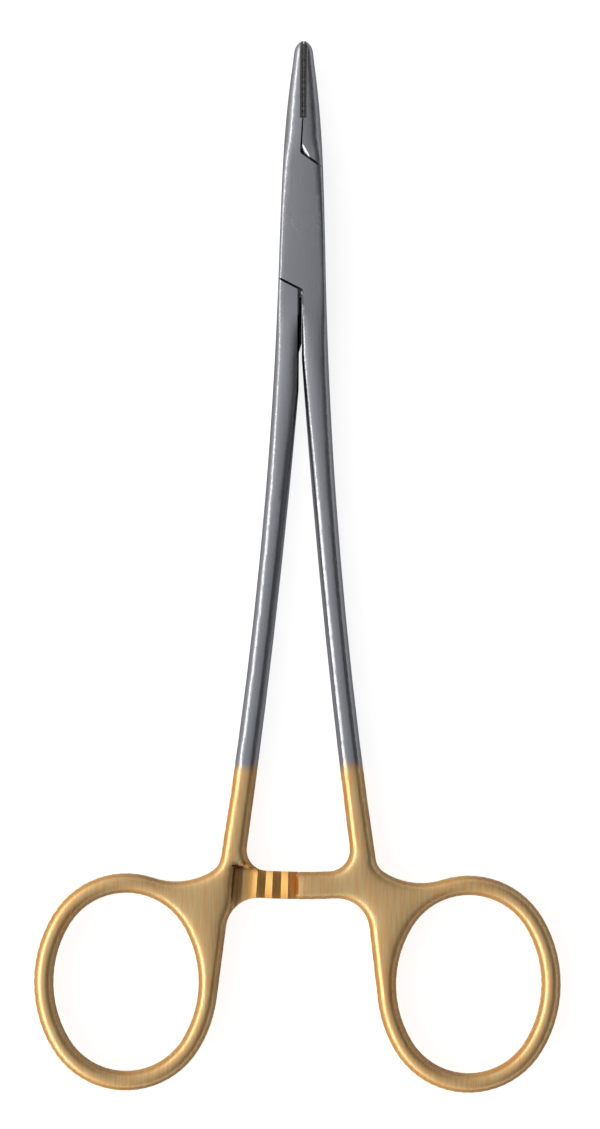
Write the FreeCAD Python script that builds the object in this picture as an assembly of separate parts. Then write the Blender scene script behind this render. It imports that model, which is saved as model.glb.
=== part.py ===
"""Slender surgical needle holder: box lock, hard-metal jaw inserts, ratchet and oval finger rings.

Frame: millimetres. The origin is on the axis of the lock pin, at the back face of the box lock.
+Y points to the tips, +X to the jaw that belongs to the male half, +Z to the front face.
The instrument lies flat with its jaws just closed and its ratchet not yet engaged.

Two forgings cross in the box lock. The female half carries the left jaw, the slotted box and the right
shank. The male half carries the right jaw, the tongue inside the slot and the left shank.
"""
import FreeCAD, Part
import math
import os

from FreeCAD import Vector

# Stations of the closed jaws and box: y, half width, thickness, radius of the long edges
TIP_Y = 26.2
TIP_DOME_LENGTH = 1.7
TIP_DOME_LEVELS = (0.0, 0.12, 0.35, 0.65)
TIP_DOME_END_SHARE = 0.03
BODY_STATIONS = (
    (TIP_Y, 1.26, 2.16, 0.94),
    (24.0, 1.43, 2.40, 1.08),
    (20.0, 1.95, 2.90, 1.30),
    (16.0, 2.37, 3.46, 1.42),
    (12.0, 2.69, 4.02, 1.38),
    (8.0, 2.91, 4.52, 1.08),
    (4.0, 3.07, 4.80, 0.84),
    (0.0, 3.20, 4.88, 0.74),
    (-4.0, 3.32, 4.88, 0.70),
    (-8.0, 3.43, 4.88, 0.70),
    (-12.0, 3.56, 4.88, 0.70),
)

# Thickness to which the flat faces of the box are ground
BOX_THICKNESS = 4.80

# Ratchet bars, which follow arcs about the lock pin
BAR_TOP_RADIUS = 94.22
BAR_HEIGHT = 3.98
BAR_TIP_PAST_CENTRE = 0.50
BAR_UPPER_ROOT_RADIUS = 3.0
BAR_LOWER_ROOT_RADIUS = 4.7
BAR_TIP_BEVEL = 0.60
BAR_GAP = 0.10
TOOTH_COUNT = 3
TOOTH_PITCH_DEG = 1.34
TOOTH_LAST_CREST_DEG = 0.87
TOOTH_DEPTH = 0.50
TOOTH_STEEP_SHARE = 0.45
RELIEF_WALL_X = 9.30
RELIEF_WALL_RADIUS = 1.50
RELIEF_MARGIN = 0.12
RELIEF_SLANT = 0.60
RELIEF_SLANT_X = 6.20

# Edges of a shank in plan, each an arc through three points, and where the shanks leave each other
SHANK_FOOT_ABOVE_BAR = 5.0
SHANK_FOOT_Y = SHANK_FOOT_ABOVE_BAR - BAR_TOP_RADIUS
SHANK_OUTER_POINTS = ((3.56, -12.0), (6.36, -54.0), (10.77, SHANK_FOOT_Y))
SHANK_INNER_POINTS = ((0.36, -24.0), (3.10, -54.0), (7.25, SHANK_FOOT_Y))
SHANKS_PART_Y = -26.0

# Stations of a shank above the handle's constant section: y, thickness, inner and outer edge radius
HANDLE_TOP_Y = -40.0
HANDLE_THICKNESS = 3.60
HANDLE_EDGE_RADIUS = 1.30
SHANK_STATIONS = (
    (-12.0, 4.88, 0.20, 0.70),
    (-16.0, 4.78, 0.32, 0.74),
    (-20.0, 4.60, 0.48, 0.82),
    (-24.0, 4.36, 0.66, 0.90),
    (-28.0, 4.08, 0.86, 1.00),
    (-32.0, 3.84, 1.06, 1.12),
    (-36.0, 3.67, 1.22, 1.24),
    (HANDLE_TOP_Y, HANDLE_THICKNESS, HANDLE_EDGE_RADIUS, HANDLE_EDGE_RADIUS),
)

# Finger ring: an oval of four arcs, and the arcs that lead from it to the shank
RING_CENTRE_X = 24.85
RING_BELOW_BAR = 16.13
RING_HOLE_HALF_WIDTH = 10.53
RING_HOLE_HALF_LENGTH = 12.93
RING_HOLE_END_SHARE = 0.912
RING_WALL = 2.80
CROTCH_RING_RADIUS = 10.0
CROTCH_SHANK_RADIUS = 2.60
CROTCH_RING_ANGLE_DEG = 18.3
PALM_EDGE_ANGLE_DEG = 7.0

# Box lock
SIDE_CLEARANCE = 0.06
SLOT_CLEARANCE = 0.03
TONGUE_THICKNESS = 1.70
TONGUE_SIDE_END_Y = 0.40
UPPER_STEP = ((-0.25, 10.0), (2.80, 7.90))
LOWER_STEP = ((0.0, -9.95), (-3.45, -8.20))
JAW_GAP_BEND_Y = 14.8
OPENING_STOP_DEG = 37.0
SHANK_CORNER_RADIUS = 1.2
SHANK_GAP = 0.42
SHANK_GAP_BEVEL = 0.26
JAW_RELIEF = 0.20
JAW_CORNER_BEVEL_LENGTH = 1.60
JAW_CORNER_BEVEL_DEPTH = 0.55
BEVEL_SPARE_SHARE = 0.3
GROOVE_WIDTH = 0.36
GROOVE_DEPTH = 0.24

# Lock pin
PIN_RADIUS = 1.10
PIN_RUNNING_CLEARANCE = 0.03
PIN_HEAD_RADIUS = 1.55
PIN_HEAD_DEPTH = 0.60
PIN_GRINDING = 0.40

# Jaw inserts
INSERT_END_Y = 15.0
INSERT_THICKNESS = 0.46
INSERT_GAP = 0.06
SERRATION_PITCH = 0.50
SERRATION_DEPTH = 0.16
SERRATION_ANGLE_DEG = 32.0
SERRATION_WIDTH = 0.34
SERRATION_SPARE = 0.10
SEAT_SPARE = 1.0

MID_Z = BOX_THICKNESS / 2
BAR_BOTTOM_RADIUS = BAR_TOP_RADIUS + BAR_HEIGHT
RING_CENTRE = (RING_CENTRE_X, -BAR_TOP_RADIUS - RING_BELOW_BAR)
RING_HOLE_END_RADIUS = RING_HOLE_END_SHARE * RING_HOLE_HALF_WIDTH
SHANK_TOP_Y = SHANK_STATIONS[0][0]
EDGE_BANDS = 3
STATION_STEP = 2.0
END_SPARE = 1.0
JOINT_TOLERANCE = 1e-5
FAR = 60.0
Z_AXIS = Vector(0, 0, 1)


def edge_corners(radius):
    """Inset from the wall and distance from the face of each corner of a rounded edge, from the wall on.

    The edge is rounded by narrow flat bands that touch the arc of this radius, and turn by even steps.
    """
    step = math.radians(90 / (EDGE_BANDS + 1))
    reach = radius / math.cos(step / 2)
    angles = [step * (index + 0.5) for index in range(EDGE_BANDS + 1)]
    return [(radius - reach * math.cos(a), radius - reach * math.sin(a)) for a in angles]


def rounded_section(y, x_low, x_high, thickness, radius_low, radius_high):
    """Corners of a section in the plane at y, from the back of its left wall on: right at the back, left in front."""
    low = MID_Z - thickness / 2
    high = MID_Z + thickness / 2
    left = [(x_low + inset, depth) for inset, depth in edge_corners(radius_low)]
    right = [(x_high - inset, depth) for inset, depth in edge_corners(radius_high)]
    ring = [(x, low + depth) for x, depth in left] + [(x, low + depth) for x, depth in reversed(right)]
    ring += [(x, high - depth) for x, depth in right] + [(x, high - depth) for x, depth in reversed(left)]
    return [Vector(x, y, z) for x, z in ring]


def ruled_form(sections):
    """Solid through sections with the same number of corners, with straight runs from each to the next."""
    return Part.makeLoft([Part.makePolygon([*corners, corners[0]]) for corners in sections], True, True)


def prism(points, z_low, z_high):
    """Upright solid over a closed polygon in plan."""
    outline = Part.makePolygon([Vector(x, y, z_low) for x, y in (*points, points[0])])
    return Part.Face(outline).extrude(Vector(0, 0, z_high - z_low))


def offset_line(start, end, distance):
    """The two points moved sideways, to the left of the way from start to end."""
    dx = end[0] - start[0]
    dy = end[1] - start[1]
    length = math.hypot(dx, dy)
    shift = (-dy / length * distance, dx / length * distance)
    return (start[0] + shift[0], start[1] + shift[1]), (end[0] + shift[0], end[1] + shift[1])


def crossing(first, second):
    """Point where two lines meet, each given by two of its points."""
    (x1, y1), (x2, y2) = first
    (x3, y3), (x4, y4) = second
    a = x1 * y2 - y1 * x2
    b = x3 * y4 - y3 * x4
    d = (x1 - x2) * (y3 - y4) - (y1 - y2) * (x3 - x4)
    return (a * (x3 - x4) - (x1 - x2) * b) / d, (a * (y3 - y4) - (y1 - y2) * b) / d


def at_x(line, x):
    """Point of a line at the given x."""
    (x1, y1), (x2, y2) = line
    return x, y1 + (y2 - y1) * (x - x1) / (x2 - x1)


def turned(point, degrees):
    """A point in plan turned about the lock pin, counter-clockwise seen from the front."""
    c = math.cos(math.radians(degrees))
    s = math.sin(math.radians(degrees))
    return point[0] * c - point[1] * s, point[0] * s + point[1] * c


def station_at(stations, y):
    """Values of a table of stations at y, from a smooth curve through its rows, without the y itself."""
    rows = sorted(stations)
    last = len(rows) - 1
    index = max(i for i in range(last) if rows[i][0] <= y)
    low, high = rows[index], rows[index + 1]
    before, after = rows[max(index - 1, 0)], rows[min(index + 2, last)]
    span = high[0] - low[0]
    t = (y - low[0]) / span
    values = []
    for column in range(1, len(low)):
        slope_low = (high[column] - before[column]) / (high[0] - before[0]) * span
        slope_high = (after[column] - low[column]) / (after[0] - low[0]) * span
        values.append((2 * t ** 3 - 3 * t ** 2 + 1) * low[column] + (t ** 3 - 2 * t ** 2 + t) * slope_low
                      + (3 * t ** 2 - 2 * t ** 3) * high[column] + (t ** 3 - t ** 2) * slope_high)
    return values


def levels_between(y_low, y_high):
    """Even levels from y_low to y_high, about a station step apart."""
    count = math.ceil((y_high - y_low) / STATION_STEP)
    return [y_low + (y_high - y_low) * i / count for i in range(count + 1)]


def body_envelope():
    """Outer form of the closed jaws and box, before it is divided between the two halves.

    Near the tip each section is a share of the plain one, which grows as the height of an ellipse does.
    """
    sections = []
    dome_y = TIP_Y - TIP_DOME_LENGTH
    for y in levels_between(BODY_STATIONS[-1][0], dome_y):
        half_width, thickness, radius = station_at(BODY_STATIONS, y)
        sections.append(rounded_section(y, -half_width, half_width, thickness, radius, radius))
    for level in reversed(TIP_DOME_LEVELS):
        y = TIP_Y - TIP_DOME_LENGTH * level
        inward = 1 - max(level, TIP_DOME_END_SHARE)
        share = math.sqrt(1 - inward * inward)
        half_width, thickness, radius = (value * share for value in station_at(BODY_STATIONS, y))
        sections.append(rounded_section(y, -half_width, half_width, thickness, radius, radius))
    return ruled_form(sections)


class Circle:
    """Circle in plan."""

    def __init__(self, x, y, radius):
        self.x = x
        self.y = y
        self.radius = radius

    @classmethod
    def through(cls, points):
        """Circle through three points."""
        (ax, ay), (bx, by), (cx, cy) = points
        d = 2 * (ax * (by - cy) + bx * (cy - ay) + cx * (ay - by))
        a2, b2, c2 = ax * ax + ay * ay, bx * bx + by * by, cx * cx + cy * cy
        x = (a2 * (by - cy) + b2 * (cy - ay) + c2 * (ay - by)) / d
        y = (a2 * (cx - bx) + b2 * (ax - cx) + c2 * (bx - ax)) / d
        return cls(x, y, math.hypot(ax - x, ay - y))

    def resized(self, change):
        """Circle about the same centre with its radius changed."""
        return Circle(self.x, self.y, self.radius + change)

    def towards(self, x, y):
        """Point of the circle that lies towards another point."""
        distance = math.hypot(x - self.x, y - self.y)
        return (self.x + (x - self.x) / distance * self.radius, self.y + (y - self.y) / distance * self.radius)

    def left_at(self, y):
        """Left one of its two points at y."""
        return self.x - math.sqrt(self.radius ** 2 - (y - self.y) ** 2), y

    def low_at(self, x):
        """Lower one of its two points at x."""
        return x, self.y - math.sqrt(self.radius ** 2 - (x - self.x) ** 2)

    def lowest_crossing(self, other):
        """Lower one of the two points where it meets another circle."""
        dx, dy = other.x - self.x, other.y - self.y
        distance = math.hypot(dx, dy)
        along = (distance ** 2 + self.radius ** 2 - other.radius ** 2) / (2 * distance)
        across = math.sqrt(self.radius ** 2 - along ** 2)
        points = [(self.x + (dx * along - sign * dy * across) / distance,
                   self.y + (dy * along + sign * dx * across) / distance) for sign in (1, -1)]
        return min(points, key=lambda p: p[1])

    def arc(self, start, end):
        """Shorter arc between two of its points, as an edge."""
        middle = self.towards((start[0] + end[0]) / 2, (start[1] + end[1]) / 2)
        return Part.Arc(Vector(*start, 0), Vector(*middle, 0), Vector(*end, 0)).toShape()


def way(start, end):
    """Unit direction from one point in plan to another."""
    dx = end[0] - start[0]
    dy = end[1] - start[1]
    length = math.hypot(dx, dy)
    return dx / length, dy / length


def edge_profile(point, inward):
    """Rounded side of the handle in the upright plane through a point of its outline, from back to front."""
    low = MID_Z - HANDLE_THICKNESS / 2
    high = MID_Z + HANDLE_THICKNESS / 2
    corners = edge_corners(HANDLE_EDGE_RADIUS)
    heights = [(inset, low + depth) for inset, depth in reversed(corners)]
    heights += [(inset, high - depth) for inset, depth in corners]
    points = [Vector(point[0] + inward[0] * inset, point[1] + inward[1] * inset, z) for inset, z in heights]
    return [Part.LineSegment(*pair).toShape() for pair in zip(points, points[1:])]


class Bend:
    """Arc of an outline in plan, with the material on its right, or on its left where side is -1."""

    def __init__(self, circle, start, end, side=1):
        self.circle = circle
        self.start = start
        self.end = end
        along = way(start, end)
        middle = circle.towards((start[0] + end[0]) / 2, (start[1] + end[1]) / 2)
        outward = way((circle.x, circle.y), middle)
        self.turn = -1 if outward[0] * along[1] - outward[1] * along[0] < 0 else 1
        self.inward_sign = side * self.turn

    def inward(self, point):
        """Unit direction into the material at a point of the arc."""
        x, y = way((self.circle.x, self.circle.y), point)
        return x * self.inward_sign, y * self.inward_sign

    def inset_edge(self, inset, z):
        """The arc moved into the material, at a height."""
        points = []
        for point in (self.start, self.end):
            x, y = self.inward(point)
            points.append((point[0] + x * inset, point[1] + y * inset))
        edge = self.circle.resized(self.inward_sign * inset).arc(*points)
        edge.translate(Vector(0, 0, z))
        return edge

    def side_faces(self):
        """The rounded side carried along the arc."""
        centre = Vector(self.circle.x, self.circle.y, 0)
        first = Vector(*self.start, 0) - centre
        last = Vector(*self.end, 0) - centre
        degrees = self.turn * math.degrees(first.getAngle(last))
        profile = edge_profile(self.start, self.inward(self.start))
        return [edge.revolve(centre, Z_AXIS, degrees) for edge in profile]


class Run:
    """Straight stretch of an outline in plan, with the material on its right."""

    def __init__(self, start, end):
        self.start = start
        self.end = end

    def inward(self, _point):
        """Unit direction into the material."""
        x, y = way(self.start, self.end)
        return y, -x

    def inset_edge(self, inset, z):
        """The stretch moved into the material, at a height."""
        shift = Vector(*self.inward(self.start), 0) * inset + Vector(0, 0, z)
        return Part.LineSegment(Vector(*self.start, 0) + shift, Vector(*self.end, 0) + shift).toShape()

    def side_faces(self):
        """The rounded side carried along the stretch."""
        along = Vector(*self.end, 0) - Vector(*self.start, 0)
        return [edge.extrude(along) for edge in edge_profile(self.start, self.inward(self.start))]


class Oval:
    """Upright oval of four tangent arcs: two ends and two flatter sides."""

    def __init__(self, centre, half_width, half_length, end_radius):
        cx, cy = centre
        rise = half_length - end_radius
        side_radius = (half_width ** 2 + rise ** 2 - end_radius ** 2) / (2 * (half_width - end_radius))
        shift = side_radius - half_width
        self.top = Circle(cx, cy + rise, end_radius)
        self.bottom = Circle(cx, cy - rise, end_radius)
        self.right = Circle(cx - shift, cy, side_radius)
        self.left = Circle(cx + shift, cy, side_radius)

    @staticmethod
    def joint(side, end):
        """Point where a side arc runs into an end arc."""
        x, y = way((side.x, side.y), (end.x, end.y))
        return end.x + x * end.radius, end.y + y * end.radius

    def corners(self):
        """The four joints, from the upper left one on, clockwise."""
        return (self.joint(self.left, self.top), self.joint(self.right, self.top),
                self.joint(self.right, self.bottom), self.joint(self.left, self.bottom))

    def bends(self, side):
        """The whole oval, clockwise."""
        top_left, top_right, bottom_right, bottom_left = self.corners()
        return [Bend(self.top, top_left, top_right, side), Bend(self.right, top_right, bottom_right, side),
                Bend(self.bottom, bottom_right, bottom_left, side), Bend(self.left, bottom_left, top_left, side)]


def ring_ovals():
    """Hole and outline of the right finger ring."""
    hole = Oval(RING_CENTRE, RING_HOLE_HALF_WIDTH, RING_HOLE_HALF_LENGTH, RING_HOLE_END_RADIUS)
    outline = Oval(RING_CENTRE, RING_HOLE_HALF_WIDTH + RING_WALL, RING_HOLE_HALF_LENGTH + RING_WALL,
                   RING_HOLE_END_RADIUS + RING_WALL)
    return hole, outline


def crotch(shank_edge, ring):
    """From the shank's outer edge, through the crotch, to the top of the ring."""
    angle = math.radians(CROTCH_RING_ANGLE_DEG)
    ring_way = (-math.sin(angle), math.cos(angle))
    reach = ring.top.radius + CROTCH_RING_RADIUS
    wide = Circle(ring.top.x + ring_way[0] * reach, ring.top.y + ring_way[1] * reach, CROTCH_RING_RADIUS)
    tight_centre = wide.resized(-CROTCH_SHANK_RADIUS).lowest_crossing(shank_edge.resized(-CROTCH_SHANK_RADIUS))
    tight = Circle(*tight_centre, CROTCH_SHANK_RADIUS)
    between = wide.towards(*tight_centre)
    return [Bend(tight, shank_edge.towards(*tight_centre), between),
            Bend(wide, between, ring.top.towards(wide.x, wide.y))]


def palm(ring, bar_bottom):
    """From the ring's left side, along the palm side of the handle, to the bottom of the ratchet bar."""
    angle = math.radians(PALM_EDGE_ANGLE_DEG)
    outward = (-math.cos(angle), -math.sin(angle))
    upward = (-math.sin(angle), math.cos(angle))
    at_ring = (ring.left.x + outward[0] * ring.left.radius, ring.left.y + outward[1] * ring.left.radius)
    radius = BAR_LOWER_ROOT_RADIUS
    start = (at_ring[0] + outward[0] * radius, at_ring[1] + outward[1] * radius)
    reach = bar_bottom.radius + radius
    half_b = start[0] * upward[0] + start[1] * upward[1]
    run = -half_b - math.sqrt(half_b ** 2 - (start[0] ** 2 + start[1] ** 2 - reach ** 2))
    root = Circle(start[0] + upward[0] * run, start[1] + upward[1] * run, radius)
    at_palm = (root.x - outward[0] * radius, root.y - outward[1] * radius)
    return [Run(at_ring, at_palm), Bend(root, at_palm, bar_bottom.towards(root.x, root.y))]


def handle_outline():
    """Outline of the right handle, clockwise from above its joint to the shank and back up to there."""
    ring = ring_ovals()[1]
    outer = Circle.through(SHANK_OUTER_POINTS)
    inner = Circle.through(SHANK_INNER_POINTS)
    bar_top = Circle(0.0, 0.0, BAR_TOP_RADIUS)
    bar_bottom = Circle(0.0, 0.0, BAR_BOTTOM_RADIUS)
    start_y = HANDLE_TOP_Y + END_SPARE
    tip_x = -BAR_TIP_PAST_CENTRE - END_SPARE

    root_centre = bar_top.resized(-BAR_UPPER_ROOT_RADIUS).lowest_crossing(inner.resized(BAR_UPPER_ROOT_RADIUS))
    root = Circle(*root_centre, BAR_UPPER_ROOT_RADIUS)
    root_start = bar_top.towards(*root_centre)
    root_end = inner.towards(*root_centre)
    to_ring = crotch(outer, ring)
    to_bar = palm(ring, bar_bottom)
    _, top_right, bottom_right, bottom_left = ring.corners()
    return [Bend(outer, outer.left_at(start_y), to_ring[0].start), *to_ring,
            Bend(ring.top, to_ring[-1].end, top_right), Bend(ring.right, top_right, bottom_right),
            Bend(ring.bottom, bottom_right, bottom_left), Bend(ring.left, bottom_left, to_bar[0].start), *to_bar,
            Bend(bar_bottom, to_bar[-1].end, bar_bottom.low_at(tip_x)),
            Bend(bar_top, bar_top.low_at(tip_x), root_start), Bend(root, root_start, root_end),
            Bend(inner, root_end, inner.left_at(start_y))]


def end_faces(before, after):
    """Faces that close the side of the handle between the end of one stretch and the start of the next."""
    profiles = [Part.Wire(edge_profile(before.end, before.inward(before.end))),
                Part.Wire(edge_profile(after.start, after.inward(after.start)))]
    return Part.makeLoft(profiles, False, True).Faces


def cap(outline, hole, z):
    """Flat front or back of the handle at a height, inside the rounding of its edges."""
    margin = edge_corners(HANDLE_EDGE_RADIUS)[-1][0]
    edges = []
    for before, after in zip([outline[-1], *outline], outline):
        edge = after.inset_edge(margin, z)
        x, y = before.inward(before.end)
        last = Vector(before.end[0] + x * margin, before.end[1] + y * margin, z)
        x, y = after.inward(after.start)
        first = Vector(after.start[0] + x * margin, after.start[1] + y * margin, z)
        if (first - last).Length > JOINT_TOLERANCE:
            edges.append(Part.LineSegment(last, first).toShape())
        edges.append(edge)
    inside = Part.Face(Part.Wire([bend.inset_edge(margin, z) for bend in hole]))
    return Part.Face(Part.Wire(edges)).cut(inside).Faces[0]


def handle():
    """Right handle with its ring and full-thickness ratchet bar: a flat plate whose long edges are rounded."""
    outline = handle_outline()
    hole = ring_ovals()[0].bends(-1)
    faces = [cap(outline, hole, MID_Z + side * HANDLE_THICKNESS / 2) for side in (-1, 1)]
    for stretch in (*outline, *hole):
        faces += stretch.side_faces()
    for before, after in zip([outline[-1], *outline], outline):
        if math.dist(before.end, after.start) > JOINT_TOLERANCE:
            faces += end_faces(before, after)
    skin = Part.makeCompound(faces)
    skin.sewShape(JOINT_TOLERANCE)
    solid = Part.Solid(skin.Shells[0])
    if solid.Volume < 0:
        solid.reverse()
    above = Part.makeBox(FAR, FAR, FAR, Vector(-FAR / 2, HANDLE_TOP_Y, MID_Z - FAR / 2))
    past_tip = Part.makeBox(FAR, FAR, FAR, Vector(-BAR_TIP_PAST_CENTRE - FAR, -BAR_TOP_RADIUS - FAR / 2, -FAR / 2))
    return solid.cut([above, past_tip])


def shank(handle_form):
    """Right shank from the box down to the constant section of the handle, on whose end face it starts."""
    outer = Circle.through(SHANK_OUTER_POINTS)
    inner = Circle.through(SHANK_INNER_POINTS)
    sections = []
    for y in levels_between(HANDLE_TOP_Y, SHANK_TOP_Y):
        thickness, radius_in, radius_out = station_at(SHANK_STATIONS, y)
        x_in = max(inner.left_at(y)[0], 0.0)
        sections.append(rounded_section(y, x_in, outer.left_at(y)[0], thickness, radius_in, radius_out))
    end_face = max(handle_form.Faces, key=lambda f: f.BoundBox.YMin)
    corners = [vertex.Point for vertex in end_face.Vertexes]
    sections[0] = [min(corners, key=lambda c: (c - point).Length) for point in sections[0]]
    return ruled_form(sections)


def tooth_profile():
    """Angle about the pin and height above the crests for each corner of the toothed face, from the tip on.

    The teeth lean towards the root: their faces on the root side are the steeper ones.
    """
    profile = []
    for index in range(TOOTH_COUNT):
        crest = TOOTH_LAST_CREST_DEG + index * TOOTH_PITCH_DEG
        if index == 0:
            profile.append((crest - (1 - TOOTH_STEEP_SHARE) * TOOTH_PITCH_DEG, TOOTH_DEPTH))
        profile.append((crest, 0.0))
        profile.append((crest + TOOTH_STEEP_SHARE * TOOTH_PITCH_DEG, TOOTH_DEPTH))
    return profile


def ratchet_relief():
    """Everything taken away behind the right bar: the toothed face with radial crests, and the room at the root."""
    crest_z = MID_Z + BAR_GAP / 2
    back_z = MID_Z - HANDLE_THICKNESS
    middle_radius = (BAR_TOP_RADIUS + BAR_BOTTOM_RADIUS) / 2
    wall_deg = math.degrees(math.asin(RELIEF_WALL_X / middle_radius))
    profile = tooth_profile()
    tip_deg = -math.degrees(4 * BAR_TIP_PAST_CENTRE / middle_radius)
    corners = [(tip_deg, back_z), (tip_deg, crest_z + TOOTH_DEPTH)]
    corners += [(angle, crest_z + depth) for angle, depth in profile]
    corners += [(wall_deg - math.degrees(inset / middle_radius), crest_z + TOOTH_DEPTH - drop)
                for inset, drop in reversed(edge_corners(RELIEF_WALL_RADIUS))]
    corners.append((wall_deg, back_z))

    def section(y):
        points = [Vector(-y * math.tan(math.radians(angle)), y, z) for angle, z in corners]
        return Part.makePolygon([*points, points[0]])

    top_y = -BAR_TOP_RADIUS + BAR_UPPER_ROOT_RADIUS
    low_y = -BAR_BOTTOM_RADIUS - BAR_LOWER_ROOT_RADIUS
    toothed = Part.makeLoft([section(low_y), section(top_y)], True, True)
    edge_y = -BAR_TOP_RADIUS + 2 * RELIEF_MARGIN
    far_x = 2 * RELIEF_WALL_X
    slant_y = edge_y + RELIEF_SLANT
    plan = ((-far_x, edge_y), (RELIEF_SLANT_X, edge_y), (RELIEF_WALL_X, slant_y),
            (far_x, slant_y), (far_x, low_y), (-far_x, low_y))
    return toothed.common(prism(plan, back_z, MID_Z + HANDLE_THICKNESS))


def tip_bevels():
    """Cutters that bevel the front, upper and lower edges of the right bar's end."""
    tip_x = -BAR_TIP_PAST_CENTRE
    front_z = MID_Z + HANDLE_THICKNESS / 2
    spare = Vector(0, FAR / 2, 0)
    front = [Vector(tip_x - b, -BAR_TOP_RADIUS, z) - spare for b, z in (
        (BAR_TIP_BEVEL, front_z - 2 * BAR_TIP_BEVEL), (BAR_TIP_BEVEL, front_z + BAR_TIP_BEVEL),
        (-2 * BAR_TIP_BEVEL, front_z + BAR_TIP_BEVEL))]
    cutters = [Part.Face(Part.makePolygon([*front, front[0]])).extrude(spare * 2)]
    for radius, side in ((BAR_TOP_RADIUS, 1), (BAR_BOTTOM_RADIUS, -1)):
        corner_y = -radius
        points = ((tip_x - BAR_TIP_BEVEL, corner_y - side * 2 * BAR_TIP_BEVEL),
                  (tip_x - BAR_TIP_BEVEL, corner_y + side * BAR_TIP_BEVEL),
                  (tip_x + 2 * BAR_TIP_BEVEL, corner_y + side * BAR_TIP_BEVEL))
        cutters.append(prism(points, -FAR, FAR))
    return cutters


def ratchet_handle(form):
    """Right handle whose bar keeps its front half, with teeth on the back of the bar and a bevelled end."""
    return form.cut([ratchet_relief(), *tip_bevels()])


def right_arm():
    """Right shank and handle, from just below the box lock to the finger ring."""
    form = handle()
    arm = shank(form).fuse(ratchet_handle(form))
    beyond = Part.makeBox(FAR, FAR, FAR, Vector(SIDE_CLEARANCE / 2 - FAR, SHANKS_PART_Y, MID_Z - FAR / 2))
    return arm.cut(beyond)


def left_arm():
    """Left shank and handle: the right one turned half a turn about the instrument's long axis."""
    arm = right_arm()
    arm.rotate(Vector(0, 0, MID_Z), Vector(0, 1, 0), 180)
    return arm


class BoxLockPlan:
    """Dividing lines of the box lock in plan, from which both halves take their outlines."""

    def __init__(self):
        self.half_gap = SIDE_CLEARANCE / 2
        self.half_relief = JAW_RELIEF / 2
        self.male_gap_x = SIDE_CLEARANCE / 2 - SHANK_GAP
        self.jaw_gap = ((0.0, JAW_GAP_BEND_Y), UPPER_STEP[0])
        self.shank_gap = (LOWER_STEP[0], (LOWER_STEP[0][0], SHANK_TOP_Y))
        side_right = (station_at(BODY_STATIONS, -TONGUE_SIDE_END_Y)[0], -TONGUE_SIDE_END_Y)
        side_left = (-station_at(BODY_STATIONS, TONGUE_SIDE_END_Y)[0], TONGUE_SIDE_END_Y)
        self.right_flank = (side_right, LOWER_STEP[0])
        self.left_flank = (side_left, UPPER_STEP[0])

    def upper_corner_and_step(self, gap_shift, step_shift):
        """Corner of the jaw gap and the step of the box next to the male jaw, each moved by its shift."""
        step = offset_line(*UPPER_STEP, step_shift)
        corner = crossing(offset_line(*self.jaw_gap, gap_shift), step)
        return corner, at_x(step, FAR)

    def lower_corner_and_step(self, gap_shift, step_shift):
        """Corner of the shank gap and the step of the box next to the male shank, each moved by its shift."""
        step = offset_line(*LOWER_STEP, step_shift)
        corner = crossing(offset_line(*self.shank_gap, -gap_shift), step)
        return corner, at_x(step, -FAR)

    def plates(self):
        """Front and back layers of the female half."""
        g = self.half_gap
        jaw = self.half_relief
        upper, upper_end = self.upper_corner_and_step(-jaw, -g)
        lower, lower_end = self.lower_corner_and_step(-g, -g)
        return ((-FAR, FAR), (-jaw, FAR), (-jaw, JAW_GAP_BEND_Y), upper, upper_end,
                (FAR, -FAR), (g, -FAR), lower, lower_end)

    def male_jaw(self):
        """Full-thickness part of the male half above the box."""
        jaw = self.half_relief
        corner, end = self.upper_corner_and_step(jaw, self.half_gap)
        return (jaw, FAR), (jaw, JAW_GAP_BEND_Y), corner, end, (FAR, FAR)

    def male_shank(self):
        """Full-thickness part of the male half below the box, as its corners and the corner that is rounded."""
        corner, end = self.lower_corner_and_step(-self.male_gap_x, self.half_gap)
        return ((self.male_gap_x, -FAR), corner, end, (-FAR, -FAR)), corner

    def tongue(self):
        """Middle layer of the male half, between its jaw and its shank."""
        s = SLOT_CLEARANCE
        right_side, right_foot = offset_line(*self.right_flank, -s)
        left_side, left_foot = offset_line(*self.left_flank, -s)
        above = (UPPER_STEP[0][1] + JAW_GAP_BEND_Y) / 2
        below = (LOWER_STEP[0][1] + SHANK_TOP_Y) / 2
        return (left_foot, (4 * s, above), (FAR, above), (FAR, right_side[1]), right_side, right_foot,
                (-4 * s, below), (-FAR, below), (-FAR, left_side[1]), left_side)

    def wedge(self, flank, side):
        """Line along the tongue's flank and the stop face that the flank meets when the jaws are wide open."""
        closed = offset_line(*flank, SLOT_CLEARANCE)
        opened = tuple(turned(p, -OPENING_STOP_DEG) for p in flank)
        meeting = crossing(closed, opened)
        return closed[1], meeting, at_x(opened, side * FAR)

    def female_core(self):
        """Middle layer of the female half: a solid wedge on each side that closes the slot."""
        g = self.half_gap
        jaw = self.half_relief
        left_foot, left_meeting, left_end = self.wedge(self.left_flank, -1)
        right_foot, right_meeting, right_end = self.wedge(self.right_flank, 1)
        upper = ((-FAR, FAR), (-jaw, FAR), (-jaw, JAW_GAP_BEND_Y), left_foot, left_meeting, left_end)
        lower = ((FAR, -FAR), (g, -FAR), right_foot, right_meeting, right_end)
        return upper, lower


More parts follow.
